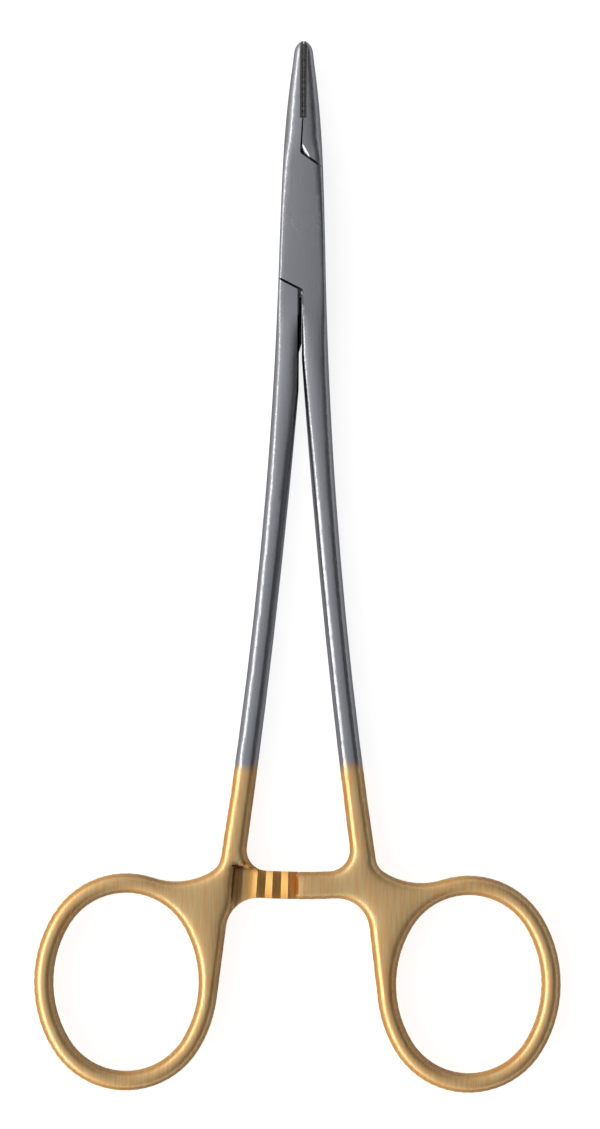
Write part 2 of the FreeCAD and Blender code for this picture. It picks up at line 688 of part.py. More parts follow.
def groove(start, end):
    """Cutter for a shallow V along a line in plan, on the front and the back face."""
    axis = Vector(*way(start, end), 0)
    across = axis.cross(Z_AXIS) * (GROOVE_WIDTH / 2)
    wires = []
    for side in (1, -1):
        sections = []
        for x, y in (start, end):
            thickness = min(station_at(BODY_STATIONS, y)[1], BOX_THICKNESS)
            surface = Vector(x, y, MID_Z + side * thickness / 2)
            lift = Vector(0, 0, side * GROOVE_DEPTH)
            sections.append(Part.makePolygon([surface - across * 2 + lift, surface - lift,
                                              surface + across * 2 + lift, surface - across * 2 + lift]))
        wires.append(Part.makeLoft(sections, True, True))
    return wires


def pin_and_bore():
    """The riveted lock pin before it is ground flush, and the running bore of the tongue."""
    pin = Part.makeCylinder(PIN_RADIUS, BOX_THICKNESS)
    for face_z, outward in ((0.0, -1), (BOX_THICKNESS, 1)):
        foot = Vector(0, 0, face_z - outward * PIN_HEAD_DEPTH)
        taper = Part.makeCone(PIN_RADIUS, PIN_HEAD_RADIUS, PIN_HEAD_DEPTH, foot, Z_AXIS * outward)
        spare = Part.makeCylinder(PIN_HEAD_RADIUS, PIN_GRINDING, Vector(0, 0, face_z), Z_AXIS * outward)
        pin = pin.fuse([taper, spare])
    bore = Part.makeCylinder(PIN_RADIUS + PIN_RUNNING_CLEARANCE, BOX_THICKNESS)
    return pin.removeSplitter(), bore


def serration_grooves(face_x, into):
    """V grooves in two crossing directions over an insert's gripping face at face_x, cut in the way of into."""
    length = TIP_Y - INSERT_END_Y
    height = station_at(BODY_STATIONS, INSERT_END_Y)[1]
    reach = math.hypot(length, height)
    centre = Vector(face_x, (TIP_Y + INSERT_END_Y) / 2, MID_Z)
    count = math.ceil(reach / SERRATION_PITCH / 2)
    half = SERRATION_WIDTH / 2 * (1 + SERRATION_SPARE / SERRATION_DEPTH)
    directions = []
    for sign in (1, -1):
        angle = math.radians(SERRATION_ANGLE_DEG) * sign
        along = Vector(0, math.cos(angle), math.sin(angle))
        across = Vector(0, -math.sin(angle), math.cos(angle))
        cutters = []
        for index in range(-count, count + 1):
            middle = centre + across * (index * SERRATION_PITCH) - along * reach
            outward = Vector(-into * SERRATION_SPARE, 0, 0)
            points = [middle + outward - across * half, middle + Vector(into * SERRATION_DEPTH, 0, 0),
                      middle + outward + across * half]
            face = Part.Face(Part.makePolygon([*points, points[0]]))
            cutters.append(face.extrude(along * (2 * reach)))
        directions.append(cutters)
    return directions


def jaw_insert(envelope, side):
    """Serrated insert of one jaw: side is -1 for the female jaw and 1 for the male jaw."""
    face_x = side * INSERT_GAP / 2
    low_x = min(face_x, face_x + side * INSERT_THICKNESS)
    slab = Part.makeBox(INSERT_THICKNESS, FAR, FAR, Vector(low_x, INSERT_END_Y, MID_Z - FAR / 2))
    insert = envelope.common(slab)
    for cutters in serration_grooves(face_x, side):
        insert = insert.cut([c for c in cutters if c.BoundBox.intersect(insert.BoundBox)])
    return insert


def insert_seat(side):
    """Room for an insert in its jaw."""
    width = INSERT_THICKNESS + INSERT_GAP / 2 + SEAT_SPARE
    low_x = -SEAT_SPARE if side > 0 else SEAT_SPARE - width
    return Part.makeBox(width, FAR, FAR, Vector(low_x, INSERT_END_Y, MID_Z - FAR / 2))


def layer_limits():
    """Heights of the slot in the box and of the tongue inside it."""
    tongue_low = MID_Z - TONGUE_THICKNESS / 2
    tongue_high = MID_Z + TONGUE_THICKNESS / 2
    return tongue_low - SLOT_CLEARANCE, tongue_high + SLOT_CLEARANCE, tongue_low, tongue_high


def female_half(envelope, plan, pin):
    """Left jaw, slotted box, right shank, front ratchet bar and right ring, as one forging."""
    slot_low, slot_high, _, _ = layer_limits()
    below = MID_Z - FAR
    above = MID_Z + FAR
    layers = [prism(plan.plates(), below, slot_low), prism(plan.plates(), slot_high, above)]
    layers += [prism(outline, slot_low, slot_high) for outline in plan.female_core()]
    region = layers[0].fuse(layers[1:])
    upper = envelope.common(region).cut([insert_seat(-1), pin])
    return upper.fuse(right_arm()).removeSplitter()


def shank_gap_cutter(male_x):
    """Everything to the right of the male shank's inner face at male_x, with bevels at the front and the back."""
    sections = []
    for y in (*levels_between(SHANKS_PART_Y, SHANK_TOP_Y), LOWER_STEP[1][1] + END_SPARE):
        thickness = min(station_at(SHANK_STATIONS, min(y, SHANK_TOP_Y))[0], BOX_THICKNESS)
        inner = thickness / 2 - SHANK_GAP_BEVEL
        outer = thickness / 2 + END_SPARE
        slant = SHANK_GAP_BEVEL + END_SPARE
        sections.append([Vector(male_x, y, MID_Z - inner), Vector(male_x - slant, y, MID_Z - outer),
                         Vector(END_SPARE, y, MID_Z - outer), Vector(END_SPARE, y, MID_Z + outer),
                         Vector(male_x - slant, y, MID_Z + outer), Vector(male_x, y, MID_Z + inner)])
    return ruled_form(sections)


def jaw_corner_bevels(plan):
    """Cutters for the bevels on the male jaw's corner beside the upper step, at the front and the back."""
    corner, end = plan.upper_corner_and_step(plan.half_relief, plan.half_gap)
    thickness = station_at(BODY_STATIONS, corner[1])[1]
    up = Vector(*way(corner, (plan.half_relief, JAW_GAP_BEND_Y)), 0)
    along = Vector(*way(corner, end), 0)
    cutters = []
    for side in (1, -1):
        surface = Vector(*corner, MID_Z + side * thickness / 2)
        deep = surface - Vector(0, 0, side * JAW_CORNER_BEVEL_DEPTH)
        edges = [surface + way_on * JAW_CORNER_BEVEL_LENGTH for way_on in (up, along)]
        beyond = deep + (deep - (edges[0] + edges[1]) / 2) * BEVEL_SPARE_SHARE
        wide = [edges[0] + (edges[0] - edges[1]) * BEVEL_SPARE_SHARE,
                edges[1] + (edges[1] - edges[0]) * BEVEL_SPARE_SHARE]
        face = Part.Face(Part.makePolygon([beyond, *wide, beyond]))
        cutters.append(face.extrude(Vector(0, 0, side * thickness)))
    return cutters


def male_half(envelope, plan, bore):
    """Right jaw, tongue, left shank, rear ratchet bar and left ring, as one forging."""
    _, _, tongue_low, tongue_high = layer_limits()
    below = MID_Z - FAR
    above = MID_Z + FAR
    shank_outline, corner = plan.male_shank()
    shank_region = prism(shank_outline, below, above)
    corner_edges = [e for e in shank_region.Edges
                    if e.BoundBox.XLength < 1e-6 and e.BoundBox.YLength < 1e-6
                    and math.hypot(e.Vertexes[0].X - corner[0], e.Vertexes[0].Y - corner[1]) < 1e-6]
    gap = shank_gap_cutter(plan.male_gap_x)
    shank_region = shank_region.makeFillet(SHANK_CORNER_RADIUS, corner_edges).cut(gap)
    jaw_region = prism(plan.male_jaw(), below, above)
    tongue_region = prism(plan.tongue(), tongue_low, tongue_high)
    region = jaw_region.fuse([shank_region, tongue_region])
    upper = envelope.common(region).cut([insert_seat(1), bore, *jaw_corner_bevels(plan)])
    return upper.fuse(left_arm().cut(gap)).removeSplitter()


def main():
    """Builds the five pieces and writes each to its own file."""
    os.makedirs("parts", exist_ok=True)
    plan = BoxLockPlan()
    pin, bore = pin_and_bore()
    ground = Part.makeBox(2 * FAR, 4 * FAR, BOX_THICKNESS, Vector(-FAR, -3 * FAR, 0))
    plain = body_envelope()
    grooves = []
    for start, end in (UPPER_STEP, LOWER_STEP, plan.jaw_gap, plan.shank_gap):
        grooves += groove(start, end)
    envelope = plain.cut(grooves)
    pieces = {
        "female_half": female_half(envelope, plan, pin).common(ground),
        "male_half": male_half(envelope, plan, bore).common(ground),
        "lock_pin": pin.common(ground),
        "female_jaw_insert": jaw_insert(plain, -1),
        "male_jaw_insert": jaw_insert(plain, 1),
    }
    for name, shape in pieces.items():
        solids = shape.Solids
        print(name, "solids", len(solids), "valid", shape.isValid(), "volume", round(shape.Volume, 3),
              "faces", len(shape.Faces))
        shape = solids[0] if len(solids) == 1 else shape
        shape.exportStep("parts/" + name + ".step")


main()
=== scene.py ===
"""Slender surgical needle holder with gold-plated ring handles, lying on a pale studio floor.

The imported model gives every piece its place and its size, in metres. The forgings are dressed as
satin steel that turns to brushed gold plating below the shanks, and the jaw inserts as dark hard metal.
"""

import logging
import math
from dataclasses import dataclass, field
from enum import Enum

import bpy
import numpy as np
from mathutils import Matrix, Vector


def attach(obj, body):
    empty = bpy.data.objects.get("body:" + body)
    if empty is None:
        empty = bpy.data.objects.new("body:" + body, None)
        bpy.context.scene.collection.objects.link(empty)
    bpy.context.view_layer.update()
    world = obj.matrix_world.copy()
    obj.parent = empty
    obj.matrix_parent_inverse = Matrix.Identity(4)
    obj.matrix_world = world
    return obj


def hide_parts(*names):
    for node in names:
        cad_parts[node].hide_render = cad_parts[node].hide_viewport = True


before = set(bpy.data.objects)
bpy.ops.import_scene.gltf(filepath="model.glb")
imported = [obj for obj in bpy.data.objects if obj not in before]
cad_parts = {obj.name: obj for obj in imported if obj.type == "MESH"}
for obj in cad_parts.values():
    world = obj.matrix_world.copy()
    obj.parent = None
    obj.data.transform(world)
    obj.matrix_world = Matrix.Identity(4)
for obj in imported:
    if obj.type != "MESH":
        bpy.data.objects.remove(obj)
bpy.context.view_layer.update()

LOG = logging.getLogger("needle_holder")
Triple = tuple[float, float, float]
Colour = tuple[float, float, float]
Socket = bpy.types.NodeSocket

MM = 0.001
WHITE: Colour = (1.0, 1.0, 1.0)
MID_HEIGHT = 2.4 * MM
NOISE_LOW, NOISE_HIGH = 0.3, 0.7


class Body(Enum):
    """Rigid bodies of the needle holder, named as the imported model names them."""

    FEMALE = "female_arm"
    MALE = "male_arm"


class Slot(Enum):
    """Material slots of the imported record."""

    STEEL = "forged_steel"
    HARD_METAL = "hard_metal"


class NodeBoard:
    """Shader nodes of one material, with short ways to add and join them."""

    def __init__(self, name: str) -> None:
        """Make an empty material.

        Args:
            name: Name of the material.
        """
        self.material = bpy.data.materials.new(name)
        self.material.use_nodes = True
        self.tree = self.material.node_tree
        self.tree.nodes.clear()
        self.output = self.tree.nodes.new("ShaderNodeOutputMaterial")

    def add(self, kind: str, settings: dict | None = None, **inputs: object) -> bpy.types.Node:
        """Add a node.

        Args:
            kind: Type name of the node.
            settings: Properties of the node itself.
            **inputs: Values or sockets for its inputs, with underscores for the spaces in their names.

        Returns:
            The new node.
        """
        node = self.tree.nodes.new(kind)
        for key, value in (settings or {}).items():
            setattr(node, key, value)
        for key, value in inputs.items():
            self.feed(node.inputs[key.replace("_", " ")], value)
        return node

    def feed(self, socket: Socket, value: object) -> None:
        """Join a socket to another one, or set its value.

        Args:
            socket: Input to feed.
            value: Output socket, number, vector or colour.
        """
        if isinstance(value, Socket):
            self.tree.links.new(value, socket)
        elif socket.type == "RGBA" and len(value) == 3:
            socket.default_value = (*value, 1.0)
        else:
            socket.default_value = value

    def place(self) -> Socket:
        """Object coordinates."""
        return self.add("ShaderNodeTexCoord").outputs["Object"]

    def noise(self, scale: Triple, detail: float = 3.0, roughness: float = 0.6) -> Socket:
        """Noise over stretched object coordinates.

        Args:
            scale: Repeats per metre along each axis.
            detail: Octaves.
            roughness: Weight of the finer octaves.

        Returns:
            A grey value, nearly always between NOISE_LOW and NOISE_HIGH.
        """
        stretched = self.add("ShaderNodeMapping", Vector=self.place(), Scale=scale).outputs["Vector"]
        return self.add("ShaderNodeTexNoise", Vector=stretched, Scale=1.0, Detail=detail,
                        Roughness=roughness).outputs["Fac"]

    def ramp(self, value: Socket, low: float, high: float, out_low: float = 0.0, out_high: float = 1.0) -> Socket:
        """Smooth step from one range to another.

        Args:
            value: Number to map.
            low: Start of its range.
            high: End of its range.
            out_low: Result at and below the start.
            out_high: Result at and above the end.

        Returns:
            The mapped number.
        """
        node = self.add("ShaderNodeMapRange", {"interpolation_type": "SMOOTHSTEP"}, Value=value)
        for key, number in zip(("From Min", "From Max", "To Min", "To Max"), (low, high, out_low, out_high)):
            node.inputs[key].default_value = number
        return node.outputs["Result"]

    def maths(self, operation: str, *values: object) -> Socket:
        """Result of a sum on numbers or sockets.

        Args:
            operation: Name of the operation.
            *values: Its operands.

        Returns:
            The result.
        """
        node = self.add("ShaderNodeMath", {"operation": operation})
        for socket, value in zip(node.inputs, values):
            self.feed(socket, value)
        return node.outputs[0]

    def blend(self, factor: object, first: object, second: object, how: str = "MIX") -> Socket:
        """Colour between two others, or between a colour and its product with another.

        Args:
            factor: 0 for the first, 1 for the second or the product.
            first: Colour or socket.
            second: Colour or socket.
            how: MIX or MULTIPLY.

        Returns:
            The blended colour.
        """
        node = self.add("ShaderNodeMix", {"data_type": "RGBA", "blend_type": how})
        for index, value in ((0, factor), (6, first), (7, second)):
            self.feed(node.inputs[index], value)
        return node.outputs[2]

    def finish(self, **inputs: object) -> bpy.types.Node:
        """Make the surface a principled shader.

        Args:
            **inputs: Values or sockets for its inputs.

        Returns:
            The shader's node.
        """
        shader = self.add("ShaderNodeBsdfPrincipled", **inputs)
        self.feed(self.output.inputs["Surface"], shader.outputs["BSDF"])
        return shader


@dataclass(frozen=True)
class PlatedSteel:
    """Satin steel, gold plated from a line across the shanks down to the rings.

    Noise scales are in repeats per metre. Ranges go through a smooth step. The tooth zone holds the left,
    right, lower and upper end of the left ratchet bar's teeth with the relief beside them.
    """

    name: str = "satin_steel_with_gold_plated_handles"
    steel: Colour = (0.40, 0.42, 0.455)
    steel_light: Colour = (0.48, 0.495, 0.525)
    gold: Colour = (1.0, 0.575, 0.235)
    gold_light: Colour = (1.0, 0.735, 0.365)

    plating_y: float = -78.7 * MM
    plating_run: float = 2.0 * MM
    plating_wander: float = 0.6 * MM

    border_noise: Triple = (420, 90, 420)
    brush_noise: Triple = (9000, 260, 2500)
    cloud_noise: Triple = (160, 60, 160)
    fine_noise: Triple = (26000, 1900, 9000)
    scratch_noise: Triple = (4200, 150, 1500)
    brush_share: float = 0.65
    cloud_share: float = 0.35
    scratch_share: float = 0.45
    scratch_range: tuple[float, float] = (0.35, 0.65)

    edge_radius: float = 0.04 * MM
    worn_range: tuple[float, float] = (0.80, 0.995)
    worn_share: float = 0.30
    worn_gloss: float = 0.08
    worn_colour: Colour = (0.92, 0.90, 0.88)

    # Painted shade in the creases: how far and how strongly it darkens by how much of the room a point sees, and
    # its colours.
    crease_reach: float = 1.0 * MM
    crease_range: tuple[float, float] = (0.35, 0.95)
    steel_crease_shade: Colour = (0.40, 0.39, 0.39)
    gold_crease_shade: Colour = (0.42, 0.27, 0.12)

    # Painted shade on steep walls, darker on walls that face away from the key light, and its colours:
    steep_range: tuple[float, float] = (0.55, 0.84)
    away_range: tuple[float, float] = (-0.3, 0.3)
    steel_wall_shade: Colour = (0.50, 0.47, 0.46)
    steel_far_wall_shade: Colour = (0.40, 0.39, 0.40)
    gold_wall_shade: Colour = (0.58, 0.50, 0.42)
    gold_far_wall_shade: Colour = (0.30, 0.30, 0.36)

    # Painted shade on the left bar's teeth (warm and darker) and on the relief beside them (darker grey):
    tooth_zone: tuple[float, float, float, float] = (-9.9 * MM, -1.5 * MM, -99.0 * MM, -93.0 * MM)
    zone_run: float = 0.5 * MM
    tooth_shade_tint: Colour = (1.0, 0.87, 0.62)
    relief_shade_tint: Colour = (0.76, 0.77, 0.76)
    relief_end: float = -8.2 * MM
    relief_run: float = 1.5 * MM

    steel_roughness: float = 0.31
    gold_roughness: float = 0.42
    roughness_swing: tuple[float, float] = (-0.05, 0.07)
    grazing_tint: Colour = (0.45, 0.45, 0.45)
    grain_depth: float = 0.012 * MM
    grain_strength: float = 0.32
    brush_height: float = 0.7
    fine_height: float = 0.3

    def plating(self, board: NodeBoard, along: Socket) -> Socket:
        """Share of gold: a soft step of the place along the instrument, made uneven by a noise.

        Args:
            board: Nodes of the material.
            along: Place along the instrument.

        Returns:
            1 below the plating's border and 0 above it.
        """
        wander = board.ramp(board.noise(self.border_noise, 2.0), NOISE_LOW, NOISE_HIGH,
                            -self.plating_wander, self.plating_wander)
        half = self.plating_run / 2
        return board.ramp(board.maths("ADD", along, wander), self.plating_y - half, self.plating_y + half, 1.0, 0.0)

    def metal(self, board: NodeBoard, plated: Socket, brushed: Socket) -> Socket:
        """Colour of the clean metal: brushing and clouds turn both metals, and scratches the gold alone.

        Args:
            board: Nodes of the material.
            plated: Share of gold.
            brushed: Noise of the brushing.

        Returns:
            The colour.
        """
        cloudy = board.noise(self.cloud_noise, 2.0, 0.5)
        scratches = board.noise(self.scratch_noise, 3.0, 0.65)
        tone = board.maths("ADD", board.ramp(brushed, NOISE_LOW, NOISE_HIGH, 0.0, self.brush_share),
                           board.ramp(cloudy, NOISE_LOW, NOISE_HIGH, 0.0, self.cloud_share))
        scratched = board.ramp(scratches, *self.scratch_range, -self.scratch_share, self.scratch_share)
        return board.blend(plated, board.blend(tone, self.steel, self.steel_light),
                           board.blend(board.maths("ADD", tone, scratched), self.gold, self.gold_light))

    def wear(self, board: NodeBoard, rounded: Socket, real: Socket) -> Socket:
        """How rubbed a place is: edges are where a rounded normal departs from the real one.

        Args:
            board: Nodes of the material.
            rounded: Normal of the surface with rounded edges.
            real: Normal of the surface.

        Returns:
            1 on a sharp edge and 0 away from edges.
        """
        agreement = board.add("ShaderNodeVectorMath", {"operation": "DOT_PRODUCT"})
        for socket, value in zip(agreement.inputs, (rounded, real)):
            board.feed(socket, value)
        return board.ramp(agreement.outputs["Value"], *self.worn_range, 1.0, 0.0)

    def painted_crease_shade(self, board: NodeBoard, plated: Socket) -> Socket:
        """Painted shade in the creases: darker where near walls hide much of the room within a short way.

        Args:
            board: Nodes of the material.
            plated: Share of gold.

        Returns:
            The painted crease shade.
        """
        openness = board.add("ShaderNodeAmbientOcclusion", {"samples": 8, "inside": False},
                             Distance=self.crease_reach).outputs["AO"]
        painted_crease_shade = board.blend(plated, self.steel_crease_shade, self.gold_crease_shade)
        return board.blend(board.ramp(openness, *self.crease_range), painted_crease_shade, WHITE)

    def walls(self, board: NodeBoard, plated: Socket, real: Socket) -> Socket:
        """Painted shade on the steep walls, darker still on those that face away from the key light.

        Args:
            board: Nodes of the material.
            plated: Share of gold.
            real: Normal of the surface.

        Returns:
            The painted wall shade.
        """
        facing = board.add("ShaderNodeSeparateXYZ", Vector=real).outputs
        wall = board.blend(board.ramp(facing["X"], *self.away_range),
                           board.blend(plated, self.steel_wall_shade, self.gold_wall_shade),
                           board.blend(plated, self.steel_far_wall_shade, self.gold_far_wall_shade))
        return board.blend(board.ramp(board.maths("ABSOLUTE", facing["Z"]), *self.steep_range), wall, WHITE)

    def painted_tooth_shade(self, board: NodeBoard, place: bpy.types.bpy_prop_collection, shade: Socket) -> Socket:
        """Shade with a painted warm, darker tint on the left bar's teeth and a darker painted shade on the relief
        beside them, which tone down their highlights.

        Args:
            board: Nodes of the material.
            place: Object coordinates, split.
            shade: Painted shade so far.

        Returns:
            The painted shade, with that of the teeth and the relief.
        """
        left, right, low, high = self.tooth_zone
        across = board.maths("MULTIPLY", board.ramp(place["X"], left, left + self.zone_run),
                             board.ramp(place["X"], right, right + self.zone_run, 1.0, 0.0))
        upward = board.maths("MULTIPLY", board.ramp(place["Y"], low, low + self.zone_run),
                             board.ramp(place["Y"], high, high + self.zone_run, 1.0, 0.0))
        off_relief = board.ramp(place["X"], self.relief_end, self.relief_end + self.relief_run)
        tint = board.blend(off_relief, self.relief_shade_tint, self.tooth_shade_tint)
        return board.blend(board.maths("MULTIPLY", across, upward), shade, tint, "MULTIPLY")

    def material(self) -> bpy.types.Material:
        """Build the material.

        Brushing runs along the instrument: a noise that is narrow across it and long along it turns
        roughness, colour and bump.

        Returns:
            The material.
        """
        board = NodeBoard(self.name)
        place = board.add("ShaderNodeSeparateXYZ", Vector=board.place()).outputs
        plated = self.plating(board, place["Y"])
        brushed = board.noise(self.brush_noise, 4.0, 0.7)
        fine = board.noise(self.fine_noise, 2.0, 0.7)
        rounded = board.add("ShaderNodeBevel", {"samples": 4}, Radius=self.edge_radius).outputs["Normal"]
        real = board.add("ShaderNodeNewGeometry").outputs["Normal"]
        worn = self.wear(board, rounded, real)

        metal = board.blend(board.maths("MULTIPLY", worn, self.worn_share), self.metal(board, plated, brushed),
                            self.worn_colour)
        # Painted shade: darker creases, darker steep walls, and walls that face away from the key light darker
        # still.
        shade = board.blend(1.0, self.painted_crease_shade(board, plated), self.walls(board, plated, real), "MULTIPLY")
        # The painted shade of the teeth and relief darkens the metal's colour together with the crease and wall
        # shade.
        colour = board.blend(1.0, metal, self.painted_tooth_shade(board, place, shade), "MULTIPLY")

        base = board.ramp(plated, 0.0, 1.0, self.steel_roughness, self.gold_roughness)
        swing = board.ramp(brushed, NOISE_LOW, NOISE_HIGH, *self.roughness_swing)
        roughness = board.maths("SUBTRACT", board.maths("ADD", base, swing),
                                board.maths("MULTIPLY", worn, self.worn_gloss))
        height = board.maths("ADD", board.maths("MULTIPLY", brushed, self.brush_height),
                             board.maths("MULTIPLY", fine, self.fine_height))
        bump = board.add("ShaderNodeBump", Strength=self.grain_strength, Distance=self.grain_depth, Height=height,
                         Normal=rounded)
        board.finish(Base_Color=colour, Metallic=1.0, Roughness=roughness, Normal=bump.outputs["Normal"],
                     Specular_Tint=self.grazing_tint)
        return board.material


@dataclass(frozen=True)
class HardMetal:
    """Dark sintered metal of the jaw inserts, or another dark metal such as the near-black painted shadow in the
    gaps.
    """

    name: str = "dark_hard_metal"
    dark: Colour = (0.06, 0.055, 0.05)
    light: Colour = (0.20, 0.195, 0.19)
    roughness: float = 0.42
    roughness_swing: tuple[float, float] = (-0.08, 0.10)
    speckle_noise: Triple = (14000, 14000, 14000)
    speckle_range: tuple[float, float] = (0.35, 0.65)
    pit_depth: float = 0.01 * MM
    pit_strength: float = 0.4

    def material(self) -> bpy.types.Material:
        """Build the material: speckled grey, with fine pits in its colour, roughness and bump.

        Returns:
            The material.
        """
        board = NodeBoard(self.name)
        speckle = board.noise(self.speckle_noise, 3.0, 0.7)
        colour = board.blend(board.ramp(speckle, *self.speckle_range), self.dark, self.light)
        smoothest, roughest = (self.roughness + swing for swing in self.roughness_swing)
        roughness = board.ramp(speckle, NOISE_LOW, NOISE_HIGH, smoothest, roughest)
        bump = board.add("ShaderNodeBump", Strength=self.pit_strength, Distance=self.pit_depth, Height=speckle)
        board.finish(Base_Color=colour, Metallic=1.0, Roughness=roughness, Normal=bump.outputs["Normal"])
        return board.material


@dataclass
class Skin:
    """Closed triangle skin: places of its vertices and indices of its triangles."""

    places: np.ndarray
    triangles: np.ndarray

    @classmethod
    def of_node(cls, node: str, merge: float = 0.0005 * MM) -> "Skin":
        """Skin of a CAD node, with the vertices that share a place made one.

        Places are rounded to the merging distance, and each triangle takes the first vertex of its place.

        Args:
            node: Name of the node.
            merge: Merging distance.

        Returns:
            The skin.
        """
        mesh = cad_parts[node].data
        places = np.empty(len(mesh.vertices) * 3)
        mesh.vertices.foreach_get("co", places)
        places = places.reshape(-1, 3)
        corners = np.empty(len(mesh.loops), dtype=np.int64)
        mesh.loops.foreach_get("vertex_index", corners)
        keys = np.round(places / merge).astype(np.int64)
        _, first, renamed = np.unique(keys, axis=0, return_index=True, return_inverse=True)
        triangles = renamed.reshape(-1)[corners].reshape(-1, 3)
        a, b, c = triangles.T
        return cls(places[first], triangles[(a != b) & (b != c) & (a != c)])

    def refined(self, longest: float) -> "Skin":
        """Skin whose edges are no longer than a limit.

        In each round every edge beyond the limit gets a vertex in its middle. A triangle with one such edge
        becomes two, one with two becomes three, and one with three becomes four.

        Args:
            longest: Longest edge allowed.

        Returns:
            The refined skin.
        """
        places, triangles = self.places, self.triangles
        while True:
            ends = np.sort(np.stack([triangles, np.roll(triangles, -1, axis=1)], axis=2).reshape(-1, 2), axis=1)
            edges, which = np.unique(ends, axis=0, return_inverse=True)
            long = np.linalg.norm(places[edges[:, 0]] - places[edges[:, 1]], axis=1) > longest
            if not long.any():
                return Skin(places, triangles)
            middle = np.full(len(edges), -1)
            middle[long] = len(places) + np.arange(np.count_nonzero(long))
            places = np.concatenate([places, places[edges[long]].mean(axis=1)])
            middles = middle[which.reshape(-1)].reshape(-1, 3)
            split = middles >= 0
            count = split.sum(axis=1)
            after_whole = (np.argmin(split, axis=1) + 1) % 3
            first = np.where(count == 1, np.argmax(split, axis=1), np.where(count == 2, after_whole, 0))
            order = (first[:, None] + np.arange(3)) % 3
            (v0, v1, v2), (m0, m1, m2) = (np.take_along_axis(a, order, axis=1).T for a in (triangles, middles))
            parts = [triangles[count == 0]]
            for number, corners in ((1, ((v0, m0, v2), (m0, v1, v2))),
                                    (2, ((m0, v1, m1), (v0, m0, m1), (v0, m1, v2))),
                                    (3, ((v0, m0, m2), (m0, v1, m1), (m2, m1, v2), (m0, m1, m2)))):
                parts += [np.stack(trio, axis=1)[count == number] for trio in corners]
            triangles = np.concatenate(parts)

    def slice(self, height: float) -> np.ndarray:
        """Outline of the skin at a height.

        Each triangle that crosses the height gives the piece between the two points where its edges cross. A
        corner that lies on the height, but for a rounding error, counts as below it.

        Args:
            height: Height of the cut.

        Returns:
            Ends of the pieces, as an array of pieces, ends and x with y.
        """
        rounding = 1e-9
        corners = self.places[self.triangles]
        above = corners[:, :, 2] > height + rounding
        mixed = above.any(axis=1) & ~above.all(axis=1)
        corners, above = corners[mixed], above[mixed]
        after = np.roll(corners, -1, axis=1)
        crosses = above != np.roll(above, -1, axis=1)
        share = (height - corners[:, :, 2]) / np.where(crosses, after[:, :, 2] - corners[:, :, 2], 1.0)
        points = corners[:, :, :2] + share[:, :, None] * (after - corners)[:, :, :2]
        return points[crosses].reshape(-1, 2, 2)


